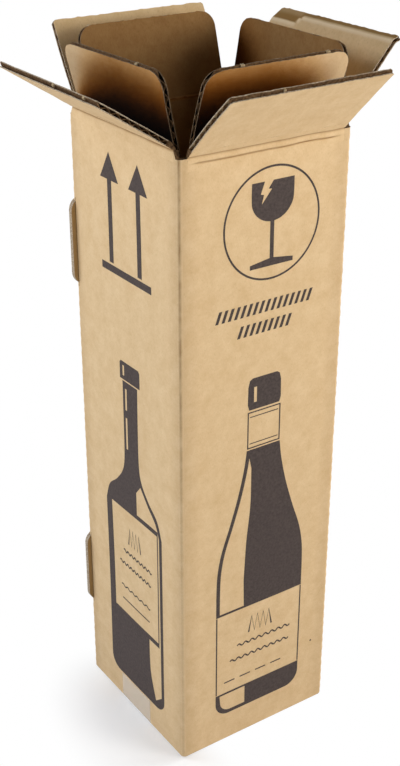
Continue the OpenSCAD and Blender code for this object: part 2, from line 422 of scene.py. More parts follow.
def tape_material():
    """Clear polypropylene packing tape: a thin glossy film that greys and flattens the brown under it."""
    material = bpy.data.materials.new("clear_packing_tape")
    tree = empty_tree(material)
    place = add_node(tree, "ShaderNodeTexCoord").outputs["Object"]
    # Fine lines along the strip, where the film was drawn
    line_sizes = (FILM_LINE_L, FILM_LINE_W, FILM_LINE_L)
    stretch = add_node(tree, "ShaderNodeMapping",
                       {"Vector": place, "Scale": [1 / (size * MM) for size in line_sizes]})
    lines = add_node(tree, "ShaderNodeTexNoise", {"Vector": stretch, "Scale": 1.0})
    relief = add_node(tree, "ShaderNodeBump",
                      {"Strength": 0.25, "Distance": FILM_RELIEF * MM, "Height": lines})
    surface = add_node(tree, "ShaderNodeBsdfPrincipled",
                       {"Base Color": linear("#f6e9d6"), "Roughness": 0.22, "IOR": 1.49, "Alpha": 0.5,
                        "Normal": relief})
    add_node(tree, "ShaderNodeOutputMaterial", {"Surface": surface})
    return material


# The last colour given for each board is the tint that its marks mix toward: rubbing on corners, painted
# shade on creases, bent rims and tabs, and for the sleeve's inner liner, paler, a painted highlight on its
# creases
OUTER_LINER = board_material("kraft_outer_liner", "#e1c59c", "#d5b68a", "#a98a5e", "#e8d4b2", "#7c531f")
INNER_LINER = board_material("kraft_inner_liner", "#dec398", "#d5b88b", "#9c7f56", "#e0c8a2", "#94723f")
# The sleeve's two liners get painted shade in the gaps between sheets
SLEEVE_LINER = board_material("sleeve_outer_liner", "#ebd0a8", "#e1c298", "#ab8b5c", "#f0dab6", "#94723f",
                              lit_from=(1.0, 0.82, 0.0), full=0.36)
SLEEVE_INSIDE = board_material("sleeve_inner_liner", "#9d794d", "#8f6b42", "#6e4e2c", "#a8865c", "#b89264",
                               lit_from=(0.0, 0.78, 0.1), full=0.75)
CUT_EDGE = paper_material("cut_paper_edge", "#c4b6a0", "#857260", 0.9)
# Darker copy of the cut edge for the sleeve's flaps: painted shade, as their edges lie deep in the box
SHADED_SLEEVE_CUT = paper_material("sleeve_cut_edge_painted_shade", "#94806a", "#5c4937", 0.9)
# Medium, dark brown: partly its own colour, partly painted shade of open flutes and slots at the board's
# edges
FLUTING = paper_material("fluting_medium", "#7a5e41", "#4a3623", 1.2)
TORN_PAPER = paper_material("torn_paper", "#cdb998", "#a08a68", 0.6)
INK = ink_material()
TAPE = tape_material()

# Materials of a board, in the order of its layers
CARTON_SET = (OUTER_LINER, INNER_LINER, FLUTING, CUT_EDGE)
SLEEVE_SET = (SLEEVE_LINER, SLEEVE_INSIDE, FLUTING, SHADED_SLEEVE_CUT)


def flap_board(child):
    """Materials and slot of the board that a flap is part of."""
    if child in INNER_FLAPS:
        return SLEEVE_SET, "sleeve_board"
    return CARTON_SET, "carton_board"


# Corrugated flaps, made by one node tree

# Points across a layer of board, up a liner and up the wavy medium, and the gap that is sealed at its edges
LAYER_COLUMNS = 41
LINER_ROWS = 41
MEDIUM_ROWS = 121
SEAL = 0.001

# Size of a dent in handled board, size of a tooth that the blade leaves, and how far in the teeth begin
DENT = 9.0
BLADE_TOOTH = 2.5
BLADE_REACH = 2.0

# Height of the ridge beside a bent rim, the rim's width, how much wider it is past a jump in the ridge,
# and where that jump begins and ends
RIDGE = 2.2
RIM = 3.8
RIM_JUMP = 5.0
RIM_JUMP_AT = (26.0, 30.0)

# Painted highlight up to the ridge, painted shade on the bent rim past it and less so further out: from, to,
# change
RIDGE_PAINTED_LIGHT = ((-3.5, -0.5, -0.7), (0.0, 0.8, 1.7), (4.0, 7.0, -0.35))


def flap_tree():
    """Flap of corrugated board, upright from its score line: two liners and a wavy medium."""
    tree = bpy.data.node_groups.new("corrugated_flap", "GeometryNodeTree")
    for name in ("Width", "Depth", "Root", "Board", "Liner", "Medium", "Pitch", "Corner",
                 "Bow", "Twist", "Rough", "Ragged", "Ridge", "Rim", "Rim Jump", "Seed"):
        tree.interface.new_socket(name=name, in_out="INPUT", socket_type="NodeSocketFloat")
    for name in LAYERS:
        tree.interface.new_socket(name=name, in_out="INPUT", socket_type="NodeSocketMaterial")
    tree.interface.new_socket(name="Geometry", in_out="OUTPUT", socket_type="NodeSocketGeometry")
    size = add_node(tree, "NodeGroupInput").outputs

    # Place of a grid point on the flat flap
    place = add_node(tree, "GeometryNodeInputPosition")
    axes = add_node(tree, "ShaderNodeSeparateXYZ", {0: place}).outputs
    reach = add_node(tree, "ShaderNodeMapRange",
                     {"Value": axes["Y"], "From Min": -0.5, "From Max": 0.5,
                      "To Min": size["Root"], "To Max": size["Depth"]})
    corner_at = add_node(tree, "ShaderNodeMath", {0: size["Depth"], 1: size["Corner"]}, operation="SUBTRACT")
    past = add_node(tree, "ShaderNodeMath", {0: reach, 1: corner_at}, operation="SUBTRACT")
    in_arc = add_node(tree, "ShaderNodeMath", {0: past, 1: 0.0}, operation="MAXIMUM")
    arc_share = add_node(tree, "ShaderNodeMath", {0: in_arc, 1: size["Corner"]}, operation="DIVIDE")
    arc_angle = add_node(tree, "ShaderNodeMath", {0: arc_share}, operation="ARCSINE")
    arc_cos = add_node(tree, "ShaderNodeMath", {0: arc_angle}, operation="COSINE")
    inset_share = add_node(tree, "ShaderNodeMath", {0: 1.0, 1: arc_cos}, operation="SUBTRACT")
    inset = add_node(tree, "ShaderNodeMath", {0: inset_share, 1: size["Corner"]}, operation="MULTIPLY")
    both_insets = add_node(tree, "ShaderNodeMath", {0: inset, 1: 2.0}, operation="MULTIPLY")
    row_width = add_node(tree, "ShaderNodeMath", {0: size["Width"], 1: both_insets}, operation="SUBTRACT")
    along = add_node(tree, "ShaderNodeMath", {0: axes["X"], 1: row_width}, operation="MULTIPLY")

    # Wave of the medium, counted from the free edge
    from_edge = add_node(tree, "ShaderNodeMath", {0: size["Depth"], 1: reach}, operation="SUBTRACT")
    waves = add_node(tree, "ShaderNodeMath", {0: from_edge, 1: size["Pitch"]}, operation="DIVIDE")
    turns = add_node(tree, "ShaderNodeMath", {0: waves, 1: 2 * math.pi}, operation="MULTIPLY")
    crest = add_node(tree, "ShaderNodeMath", {0: turns}, operation="COSINE")
    core = add_node(tree, "ShaderNodeMath", {0: size["Board"], 1: size["Medium"]}, operation="SUBTRACT")
    middle = add_node(tree, "ShaderNodeMath", {0: core, 1: 0.5}, operation="MULTIPLY")
    swing = add_node(tree, "ShaderNodeMath", {0: middle, 1: size["Liner"]}, operation="SUBTRACT")
    wave = add_node(tree, "ShaderNodeMath", {0: crest, 1: swing, 2: middle}, operation="MULTIPLY_ADD")
    inner_at = add_node(tree, "ShaderNodeMath", {0: size["Board"], 1: size["Liner"]}, operation="SUBTRACT")

    # One closed sheet for each layer: its material, how far in it lies, its thickness and rows of points
    inward = add_node(tree, "ShaderNodeCombineXYZ", {"Y": 1.0})
    sheets = (("Outer Liner", 0.0, "Liner", LINER_ROWS), ("Fluting", wave, "Medium", MEDIUM_ROWS),
              ("Inner Liner", inner_at, "Liner", LINER_ROWS))
    joined = add_node(tree, "GeometryNodeJoinGeometry")
    for material, depth, thickness, rows in sheets:
        grid = add_node(tree, "GeometryNodeMeshGrid",
                        {"Size X": 1.0, "Size Y": 1.0, "Vertices X": LAYER_COLUMNS, "Vertices Y": rows})
        spot = add_node(tree, "ShaderNodeCombineXYZ", {"X": along, "Y": depth, "Z": reach})
        sheet = add_node(tree, "GeometryNodeSetPosition", {"Geometry": grid, "Position": spot})
        raised = add_node(tree, "GeometryNodeExtrudeMesh",
                          {"Mesh": sheet, "Offset": inward, "Offset Scale": size[thickness],
                           "Individual": False})
        turned = add_node(tree, "GeometryNodeFlipFaces", {"Mesh": raised})
        faced = add_node(tree, "GeometryNodeSetMaterial", {"Geometry": turned, "Material": size[material]})
        edged = add_node(tree, "GeometryNodeStoreNamedAttribute",
                         {"Geometry": faced, "Selection": raised.outputs["Side"], "Name": "cut",
                          "Value": thickness == "Liner"}, data_type="BOOLEAN", domain="FACE")
        back = add_node(tree, "GeometryNodeSetMaterial", {"Geometry": sheet, "Material": size[material]})
        closed = add_node(tree, "GeometryNodeJoinGeometry")
        for part in (edged, back):
            tree.links.new(part.outputs[0], closed.inputs[0])
        sealed = add_node(tree, "GeometryNodeMergeByDistance", {"Geometry": closed, "Distance": SEAL * MM})
        tree.links.new(sealed.outputs[0], joined.inputs[0])

    # Each point keeps its place on the flat board for the paper's pattern
    kept = add_node(tree, "GeometryNodeStoreNamedAttribute",
                    {"Geometry": joined, "Name": "sheet", "Value": place},
                    data_type="FLOAT_VECTOR", domain="POINT")

    # Handling: the flap bows and twists, and its surface is uneven
    share = add_node(tree, "ShaderNodeMath", {0: axes["Z"], 1: size["Depth"]}, operation="DIVIDE")
    squared = add_node(tree, "ShaderNodeMath", {0: share, 1: 2.0}, operation="POWER")
    side_share = add_node(tree, "ShaderNodeMath", {0: axes["X"], 1: size["Width"]}, operation="DIVIDE")
    twisted = add_node(tree, "ShaderNodeMath",
                       {0: side_share, 1: size["Twist"], 2: size["Bow"]}, operation="MULTIPLY_ADD")
    bow = add_node(tree, "ShaderNodeMath", {0: squared, 1: twisted}, operation="MULTIPLY")
    shifted = add_node(tree, "ShaderNodeVectorMath", {0: place, 1: size["Seed"]}, operation="ADD")
    dents = add_node(tree, "ShaderNodeTexNoise", {"Vector": shifted, "Scale": 1 / (DENT * MM), "Detail": 3.0})
    centred = add_node(tree, "ShaderNodeVectorMath",
                       {0: dents.outputs["Color"], 1: (0.5, 0.5, 0.5)}, operation="SUBTRACT")
    uneven = add_node(tree, "ShaderNodeVectorMath", {0: centred, "Scale": size["Rough"]}, operation="SCALE")

    # A ridge may set off a rim along the free edge. It jumps from one flute to the next near one end.
    jump = add_node(tree, "ShaderNodeMapRange",
                    {"Value": axes["X"], "From Min": RIM_JUMP_AT[0] * MM, "From Max": RIM_JUMP_AT[1] * MM,
                     "To Min": 0.0, "To Max": size["Rim Jump"]}, interpolation_type="SMOOTHSTEP")
    rim = add_node(tree, "ShaderNodeMath", {0: size["Rim"], 1: jump}, operation="ADD")
    ridge_at = add_node(tree, "ShaderNodeMath", {0: size["Depth"], 1: rim}, operation="SUBTRACT")
    rising = add_node(tree, "ShaderNodeMath", {0: axes["Z"], 1: ridge_at}, operation="DIVIDE")
    to_edge = add_node(tree, "ShaderNodeMath", {0: size["Depth"], 1: axes["Z"]}, operation="SUBTRACT")
    falling = add_node(tree, "ShaderNodeMath", {0: to_edge, 1: rim}, operation="DIVIDE")
    lower = add_node(tree, "ShaderNodeMath", {0: rising, 1: falling}, operation="MINIMUM")
    sideways = add_node(tree, "ShaderNodeMath",
                        {0: lower, 1: size["Ridge"], 2: bow}, operation="MULTIPLY_ADD")
    bend = add_node(tree, "ShaderNodeCombineXYZ", {"Y": sideways})
    handled = add_node(tree, "ShaderNodeVectorMath", {0: bend, 1: uneven}, operation="ADD")
    # Painted highlight before the ridge and painted shade on the bent rim, kept with the rubbing values
    past_ridge = add_node(tree, "ShaderNodeMath", {0: rim, 1: to_edge}, operation="SUBTRACT")
    wear_and_painted_light = 0.0
    for low, high, change in RIDGE_PAINTED_LIGHT:
        step = add_node(tree, "ShaderNodeMapRange",
                        {"Value": past_ridge, "From Min": low * MM, "From Max": high * MM,
                         "To Max": change}, interpolation_type="SMOOTHSTEP")
        wear_and_painted_light = add_node(tree, "ShaderNodeMath", {0: wear_and_painted_light, 1: step}, operation="ADD")
    ridge_painted_light = add_node(tree, "ShaderNodeMath", {0: wear_and_painted_light, 1: size["Ridge"]}, operation="MULTIPLY")
    full_painted_light = add_node(tree, "ShaderNodeMath", {0: ridge_painted_light, 1: RIDGE * MM}, operation="DIVIDE")
    worn_and_painted_light = add_node(tree, "GeometryNodeStoreNamedAttribute",
                    {"Geometry": kept, "Name": "wear_and_painted_light", "Value": full_painted_light},
                    data_type="FLOAT", domain="POINT")

    # The blade leaves the layers ragged along the free edge
    edge_at = add_node(tree, "ShaderNodeMath", {0: size["Depth"], 1: BLADE_REACH * MM}, operation="SUBTRACT")
    at_edge = add_node(tree, "ShaderNodeMapRange",
                       {"Value": axes["Z"], "From Min": edge_at, "From Max": size["Depth"],
                        "To Max": size["Ragged"]})
    teeth = add_node(tree, "ShaderNodeTexNoise",
                     {"Vector": shifted, "Scale": 1 / (BLADE_TOOTH * MM), "Detail": 2.0})
    tooth = add_node(tree, "ShaderNodeMath", {0: teeth, 1: 0.5}, operation="SUBTRACT")
    torn = add_node(tree, "ShaderNodeMath", {0: tooth, 1: at_edge}, operation="MULTIPLY")
    fray = add_node(tree, "ShaderNodeCombineXYZ", {"Z": torn})
    moved = add_node(tree, "ShaderNodeVectorMath", {0: handled, 1: fray}, operation="ADD")
    shaped = add_node(tree, "GeometryNodeSetPosition", {"Geometry": worn_and_painted_light, "Offset": moved})
    real = add_node(tree, "GeometryNodeRealizeInstances", {"Geometry": shaped})
    cut = add_node(tree, "GeometryNodeInputNamedAttribute", {"Name": "cut"}, data_type="BOOLEAN")
    painted = add_node(tree, "GeometryNodeSetMaterial",
                       {"Geometry": real, "Selection": cut.outputs["Attribute"],
                        "Material": size["Cut Edge"]})
    add_node(tree, "NodeGroupOutput", {0: painted})
    return tree


FLAP_TREE = flap_tree()


def corrugated_piece(name, matrix, materials, seed, sizes):
    """Runs the flap tree with these sizes in mm and puts the plain mesh in place."""
    board = {"Board": BOARD, "Liner": LINER, "Medium": MEDIUM, "Pitch": FLUTE_PITCH, "Rim": RIM}
    values = {size: mm * MM for size, mm in (board | sizes).items()}
    values.update(zip(LAYERS, materials))
    values["Seed"] = float(seed)
    source = link_object(name + "_source", bpy.data.meshes.new(name + "_source"))
    modifier = source.modifiers.new("corrugated_flap", "NODES")
    modifier.node_group = FLAP_TREE
    for socket in FLAP_TREE.interface.items_tree:
        if socket.in_out == "INPUT":
            modifier[socket.identifier] = values[socket.name]
    mesh = plain_mesh(source, name)
    place = matrix.copy()
    place.translation = place.translation * MM
    mesh.transform(place)
    shade(mesh)
    return link_object(name, mesh)


# Flap-by-flap handling in mm: bow toward the inside, how much more it is at the far end of the score line
# than at the near end, and height of a ridge along the free edge
HANDLING = {
    "front_flap": (-1.8, 1.0, 0.0), "left_flap": (-0.4, 0.0, 0.0),
    "back_flap": (2.0, 0.0, 0.0), "right_flap": (0.4, 0.0, RIDGE),
    "inner_front_flap": (-3.2, 1.0, 0.0), "inner_left_flap": (1.1, 2.0, 0.0),
    "inner_back_flap": (-1.0, 0.0, 0.0), "inner_right_flap": (1.5, 0.0, 0.0),
}

# Corner radius and unevenness of the flaps, and how ragged their free edges are
OUTER_FLAP_R = 1.2
OUTER_ROUGH = 0.5
INNER_FLAP_R = 9.0
INNER_ROUGH = 0.15
RAGGED = 1.6


def make_flap(child, seed):
    tilt, depth, width = flap_measure(child)
    bow, twist, ridge = HANDLING[child]
    corner, rough = (INNER_FLAP_R, INNER_ROUGH) if child in INNER_FLAPS else (OUTER_FLAP_R, OUTER_ROUGH)
    materials, slot = flap_board(child)
    sizes = {"Width": width, "Depth": depth, "Root": FOLD_UP, "Corner": corner, "Bow": bow, "Twist": twist,
             "Rough": rough, "Ragged": RAGGED, "Ridge": ridge, "Rim Jump": RIM_JUMP}
    piece = corrugated_piece(child + "_board", flap_matrix(child, tilt), materials, seed, sizes)
    return settle(piece, child, slot, child)


# Flakes of torn paper on the free edges: flap, place along it, width
FLAKES = (("inner_front_flap", -23, 2.2), ("inner_front_flap", 30, 2.4), ("inner_left_flap", 23, 2.4),
          ("inner_right_flap", -17, 1.8), ("inner_back_flap", 37, 1.6), ("left_flap", 8, 1.6),
          ("left_flap", 38, 1.8), ("front_flap", -18, 1.4))
# Steps across a flake, how deep it roots in the board, how high it stands, how uneven that is, how much it
# leans in, and its two faces as shares of the board's thickness
FLAKE_STEPS = 6
FLAKE_ROOT = 1.0
FLAKE_RISE = 0.35
FLAKE_UNEVEN = 0.5
FLAKE_LEAN = 0.4
FLAKE_FACES = (0.5, 0.95)


def torn_flake(number, child, u, width):
    """Shred of liner that stands up from a free edge."""
    tilt, depth, flap_width = flap_measure(child)
    bow, twist, _ = HANDLING[child]
    bow += twist * u / flap_width
    matrix = flap_matrix(child, tilt)
    outline = [(-width / 2, -FLAKE_ROOT)]
    for i in range(FLAKE_STEPS + 1):
        rise = FLAKE_RISE + FLAKE_UNEVEN * noise.noise(Vector((i * 0.7, number * 3.1, 0)))
        outline.append((width * (i / FLAKE_STEPS - 0.5), rise if 0 < i < FLAKE_STEPS else 0.0))
    outline.append((width / 2, -FLAKE_ROOT))
    points = []
    for share in FLAKE_FACES:
        for x, rise in outline:
            y = bow + share * BOARD + FLAKE_LEAN * rise
            points.append(matrix @ Vector((u + x, y, depth + rise)))
    piece = mesh_piece("torn_flake_%d" % number, points, prism_faces(len(outline)), [TORN_PAPER])
    outward_faces(piece)
    return settle(piece, child, flap_board(child)[1])


# Fold strips between the walls and the flaps

# How far to each side of a score line the board turns, and steps along and columns across a strip
FOLD_TURN = 1.6
FOLD_STEPS = 26
FOLD_COLUMNS = 48
# Place below the score line of the second crease, which fades toward its ends
SECOND_CREASE = 3.5
CREASE_FADE = 9.0
# Thickness left at a score line and how fast it grows away from it
CARTON_PINCH = (1.5, 0.45)
SLEEVE_PINCH = (2.2, 0.6)
# How far a score line wanders and in waves of what length, except within a distance of the strip's ends
WANDER = 0.5
WANDER_WAVE = 14.0
FIXED_END = 2.0


def strip_down(child):
    """How far a fold strip runs down its wall."""
    return CREASED_DOWN if child in CREASED else FOLD_DOWN


def fold_press(at, fade):
    """How deep the outer face is pressed in at this distance from the score line. The sides of the score
    line swell. fade is the strength of a second crease."""
    press = 0.3 * bump_at(at, 0, 0.55) - 0.1 * bump_at(abs(at), 1.5, 0.6)
    return press + 0.4 * fade * bump_at(at, -SECOND_CREASE, 0.5)


def fold_shade_and_highlight(child, at, fade, inside):
    """How much painted shade darkens the outer face of a fold at this distance from its score line. Inside a
    sleeve fold it is a painted highlight.
    """
    if inside:
        return bump_at(at, 0, 0.6) if child in INNER_FLAPS else 0.0
    if child in CREASED:
        return max(0.6 * bump_at(at, 0, 0.5), 0.95 * fade * bump_at(at, -SECOND_CREASE, 0.35))
    return 0.85 * bump_at(at, 0, 0.75)


def fold_strip(child):
    """Board that turns at a score line, pressed thin there."""
    tilt, _, width = flap_measure(child)
    along, outward, hinge = side_frame(child)
    pinch, slope = SLEEVE_PINCH if child in INNER_FLAPS else CARTON_PINCH
    down = strip_down(child)
    runs = [-down + (down + FOLD_UP) * i / FOLD_STEPS for i in range(FOLD_STEPS + 1)]
    points, sheet, wear_and_painted_light = [], [], []
    for column in range(FOLD_COLUMNS + 1):
        u = width * (column / FOLD_COLUMNS - 0.5)
        wander = WANDER * noise.noise(Vector((u / WANDER_WAVE, hinge.z / 10, len(child))))
        fade = smooth_step((width / 2 - abs(u)) / CREASE_FADE) if child in CREASED else 0.0
        for inside in (0, 1):
            for run in runs:
                free = smooth_step((run + down) / FIXED_END) * smooth_step((FOLD_UP - run) / FIXED_END)
                at = run + wander * free
                turn = tilt * smooth_step((at + FOLD_TURN) / (2 * FOLD_TURN))
                flat_y = 0.0 if run < 0 else -run * math.sin(tilt)
                flat_z = run if run < 0 else run * math.cos(tilt)
                thick = min(BOARD, pinch + slope * abs(at)) if inside else fold_press(at, fade) * free
                y = flat_y + thick * math.cos(turn)
                z = flat_z + thick * math.sin(turn)
                points.append(hinge + along * u - outward * y + UP * z)
                sheet.append((u, BOARD * inside, hinge.z + run))
                # Painted shade along the crease outside, painted highlight along it inside a sleeve fold
                wear_and_painted_light.append(fold_shade_and_highlight(child, at, fade, inside))
    faces, slots = bent_sheet_faces(FOLD_COLUMNS, len(runs))
    materials, slot = flap_board(child)
    piece = mesh_piece(child + "_fold", points, faces, materials, slots, sheet, wear_and_painted_light)
    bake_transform(piece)
    return piece


# Walls

# Columns of points across a flap's width, steps round a corner, rows of points a flute, and rows round the
# foot as shares of its radius
WALL_PANELS = 14
CORNER_STEPS = 6
FLUTE_ROWS = 4
FOOT_ROWS = (0, 0.15, 0.4, 0.7)

# A carton wall stands in or out of flat by this much, in waves this long along and up the wall. That fades
# within this distance of the middle and between these heights.
SWELL = 0.5
SWELL_WAVE = (55.0, 80.0)
SWELL_SIDE = 45.0
SWELL_SIDE_FADE = 30.0
SWELL_Z = (5.0, 370.0)
SWELL_Z_FADE = 50.0

# A folded corner is beaded between the flutes and uneven. It is rubbed along its middle, more so above a
# height, and a little for some way beside it.
BEAD = 0.25
BEAD_UNEVEN = 0.15
CORNER_RUB_Z = 120.0
CORNER_RUB_FADE = 160.0
BESIDE_CORNER = 9.0
BESIDE_RUB = 0.15


def wall_swell(side, u, z):
    """How far a wall of the carton stands in or out of flat. It is nothing near its edges."""
    fade = smooth_step((SWELL_SIDE - abs(u)) / SWELL_SIDE_FADE)
    fade *= smooth_step((z - SWELL_Z[0]) / SWELL_Z_FADE) * smooth_step((SWELL_Z[1] - z) / SWELL_Z_FADE)
    return SWELL * fade * noise.noise(Vector((u / SWELL_WAVE[0], z / SWELL_WAVE[1], 3.7 * side)))


def corner_dip(z):
    """Share of the full dip of a folded corner between two flutes."""
    return 0.5 - 0.5 * math.cos(2 * math.pi * z / FLUTE_PITCH)


def corner_wear(side, turned, z):
    """How rubbed a folded corner is: a broken line along its middle."""
    high = 0.2 + 0.8 * smooth_step((z - CORNER_RUB_Z) / CORNER_RUB_FADE)
    dashes = 0.4 + 0.15 * corner_dip(z) + 0.45 * noise.noise(Vector((z / 11, side, 7)))
    return dashes * high * bump_at(turned, 0.5, 0.17)


def folded_walls(name, flaps, materials, corner_r, foot_z, foot_r, holes=()):
    """Four walls of one folded sheet with slotted top corners, as a closed shell of board."""
    hinges = [side_frame(child) for child in flaps]
    spans = [flap_measure(child)[2] / 2 for child in flaps]
    half = wall_reach(flaps[0])
    tops = [hinge.z - strip_down(child) for (_, _, hinge), child in zip(hinges, flaps)]
    slot_z = min(hinge.z for _, _, hinge in hinges) - SLOT_DROP
    flat = half - corner_r
    inner_flat = half - BOARD - INSIDE_CORNER_R
    # Stations round the section: side, place along it, share of the corner turned
    stations = []
    for side in range(4):
        span = spans[side]
        places = [-flat] + [span * (2 * i / WALL_PANELS - 1) for i in range(WALL_PANELS + 1)]
        places += [hole[i] for hole in holes if hole[0] == side for i in (1, 2)]
        stations += [(side, u, 0.0) for u in sorted(set(places))]
        stations += [(side, flat, i / CORNER_STEPS) for i in range(CORNER_STEPS)]
    rows = [foot_z + foot_r * share for share in FOOT_ROWS] if foot_r else [foot_z]
    step = FLUTE_PITCH / FLUTE_ROWS
    count = int((slot_z - foot_z - foot_r) / step)
    fixed = [slot_z] + tops + [hole[i] for hole in holes for i in (3, 4)]
    rows += [z for z in (foot_z + foot_r + step * i for i in range(count + 1))
             if all(abs(z - f) > step / 3 for f in fixed)]
    rows = sorted(set(rows + fixed))

    def outline(station, z, inside):
        """Point of the outer or inner face at a station and height."""
        side, u, turned = station
        along, outward, hinge = hinges[side]
        past_flap = abs(u) > spans[side] - 0.01
        past_flap_share = (abs(u) - spans[side]) / (flat - spans[side])
        foot = 0.0
        if foot_r and z < foot_z + foot_r and not inside:
            foot = foot_r - math.sqrt(max(foot_r ** 2 - (foot_z + foot_r - z) ** 2, 0))
        if inside:
            near = min(abs(u), spans[side])
            past = max(abs(u) - spans[side], 0) / max(flat - spans[side], 1e-6)
            u = math.copysign(near + past * (inner_flat - spans[side]), u)
            reach, r = half - BOARD, INSIDE_CORNER_R
        else:
            reach, r = half, corner_r
            if flaps == OUTER_FLAPS and not turned:
                reach += wall_swell(side, u, z)
        reach -= foot
        if not turned:
            # The slot's floor climbs to the score line of the higher walls
            if z == slot_z and past_flap:
                z += (hinge.z - SLOT_DROP - slot_z) * (1 - past_flap_share)
            return along * u + outward * reach + UP * z
        angle = turned * math.pi / 2
        bead = 0.0
        if not inside:
            bead = BEAD * corner_dip(z) + BEAD_UNEVEN * noise.noise(Vector((z / 9, side, 0)))
            bead *= math.sin(turned * math.pi)
        centre = along * (u - foot) + outward * (reach - r)
        return centre + (outward * math.cos(angle) + along * math.sin(angle)) * (r - bead) + UP * z

    points, sheet, wear_and_painted_light = [], [], []
    for inside in (0, 1):
        for station in stations:
            side, u, turned = station
            for z in rows:
                points.append(outline(station, z, inside))
                sheet.append((2 * half * side + u + turned * corner_r, BOARD * inside, z))
                beside = BESIDE_RUB * smooth_step((abs(u) - flat) / BESIDE_CORNER + 1)
                rub = corner_wear(side, turned, z) if turned else beside
                wear_and_painted_light.append(0.0 if inside else rub)
    wide, tall = len(stations), len(rows)

    def present(j, k):
        """Whether the sheet has board between a station and row and the next ones."""
        if k < 0 or k >= tall - 1:
            return False
        side, u, turned = stations[j % wide]
        next_side, next_u, _ = stations[(j + 1) % wide]
        middle = (u + next_u) / 2
        z = (rows[k] + rows[k + 1]) / 2
        if not turned and next_side == side:
            if abs(middle) < spans[side] and z > tops[side]:
                return False
            for hole in holes:
                if hole[0] == side and hole[1] < middle < hole[2] and hole[3] < z < hole[4]:
                    return False
        return z < slot_z or abs(middle) < spans[side] and not turned

    def at(j, k, inside):
        return (inside * wide + j % wide) * tall + k

    faces, slots = [], []
    for j in range(wide):
        for k in range(tall - 1):
            if not present(j, k):
                continue
            faces.append((at(j, k, 0), at(j + 1, k, 0), at(j + 1, k + 1, 0), at(j, k + 1, 0)))
            slots.append(OUTER_FACE)
            faces.append((at(j, k, 1), at(j, k + 1, 1), at(j + 1, k + 1, 1), at(j + 1, k, 1)))
            slots.append(INNER_FACE)
            borders = (((j, k), (j + 1, k), present(j, k - 1)),
                       ((j + 1, k + 1), (j, k + 1), present(j, k + 1)),
                       ((j + 1, k), (j + 1, k + 1), present(j + 1, k)),
                       ((j, k + 1), (j, k), present(j - 1, k)))
            for a, b, neighbour in borders:
                if not neighbour:
                    faces.append((at(*b, 0), at(*a, 0), at(*a, 1), at(*b, 1)))
                    slots.append(FLUTED_EDGE)
    piece = mesh_piece(name, points, faces, materials, slots, sheet, wear_and_painted_light)
    mesh = bmesh.new()
    mesh.from_mesh(piece.data)
    loose = [v for v in mesh.verts if not v.link_faces]
    bmesh.ops.delete(mesh, geom=loose, context="VERTS")
    mesh.to_mesh(piece.data)
    mesh.free()
    return piece


def make_walls():
    left = OUTER_FLAPS.index("left_flap")
    tab_y = wall_reach("back_flap") - BOARD
    slits = [(left, -tab_y, TAB_SLIT - tab_y, z - TAB_CUT_PAST, z + TAB_L + TAB_CUT_PAST) for z in TAB_LOW_Z]
    carton = folded_walls("carton_walls", OUTER_FLAPS, CARTON_SET, CORNER_R, 0.0, FOOT_R, slits)
    settle(carton, "carton", "carton_board", "outer_carton")
    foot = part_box("inner_sleeve")[0].z / MM
    sleeve = folded_walls("sleeve_walls", INNER_FLAPS, SLEEVE_SET, SLEEVE_CORNER_R, foot, 0.0)
    settle(sleeve, "carton", "sleeve_board", "inner_sleeve")


def base_flap(child, z, seed):
    """Flap folded in under the box, with its outer face down."""
    along, outward, hinge = side_frame(child)
    width = 2 * (wall_reach("front_flap") - BASE_SIDE_CLEAR)
    depth = wall_reach(child) - BASE_SEAM / 2
    sizes = {"Width": width, "Depth": depth, "Root": BOARD + 0.2, "Corner": 0.8, "Bow": 0.0, "Twist": 0.0,
             "Rough": 0.2, "Ragged": 0.5, "Ridge": 0.0, "Rim Jump": 0.0}
    matrix = axes_matrix(-along, UP, -outward, Vector((hinge.x, hinge.y, z)))
    piece = corrugated_piece(child.replace("_flap", "_base_flap"), matrix, CARTON_SET, seed, sizes)
    return settle(piece, "carton", "carton_board")


def corner_tab(z):
    """Tab of the rear wall that stays flat where the corner folds."""
    half = wall_reach("back_flap")
    rise = math.sqrt(TAB_END_R ** 2 - (TAB_END_R - TAB_PROUD) ** 2)
    turn = math.degrees(math.acos((TAB_END_R - TAB_PROUD - TAB_SUNK) / TAB_END_R))
    end = arc(TAB_PROUD - TAB_END_R, 0, TAB_END_R, 0, turn, TAB_STEPS)
    outline = [(x, TAB_L - rise + y) for x, y in end] + [(x, rise - y) for x, y in reversed(end)]
    count = len(outline)
    points = [(-half - x, y, z + h) for y in (half - BOARD, half + TAB_LIFT) for x, h in outline]
    slots = [INNER_FACE, OUTER_FACE] + [CUT_FACE] * count
    # Painted shade on the tab's inner face
    wear_and_painted_light = [TAB_PAINTED_SHADE] * count + [0.0] * count
    name = "corner_tab_%d" % round(z)
    piece = mesh_piece(name, points, prism_faces(count), CARTON_SET, slots, points, wear_and_painted_light)
    outward_faces(piece)
    return settle(piece, "carton", "carton_board")


# Tape: width, rise up the walls, thickness, size of the blade's teeth, how far off the board it lies, and
# the height and spread of its wrinkles
TAPE_W = 34.0
TAPE_RISE = 19.0
TAPE_T = 0.06
TAPE_TOOTH = 2.0
TAPE_LIFT = 0.02
TAPE_WRINKLE = 0.05
TAPE_WRINKLE_WAVE = (7.0, 5.0, 9.0)
# Points of its path up a wall, round the foot and in along the base, the length of a step there, and columns
TAPE_WALL_STEPS = 8
TAPE_FOOT_STEPS = 6
TAPE_BASE_STEPS = 8
TAPE_BASE_STEP = 6.0
TAPE_COLUMNS = 34


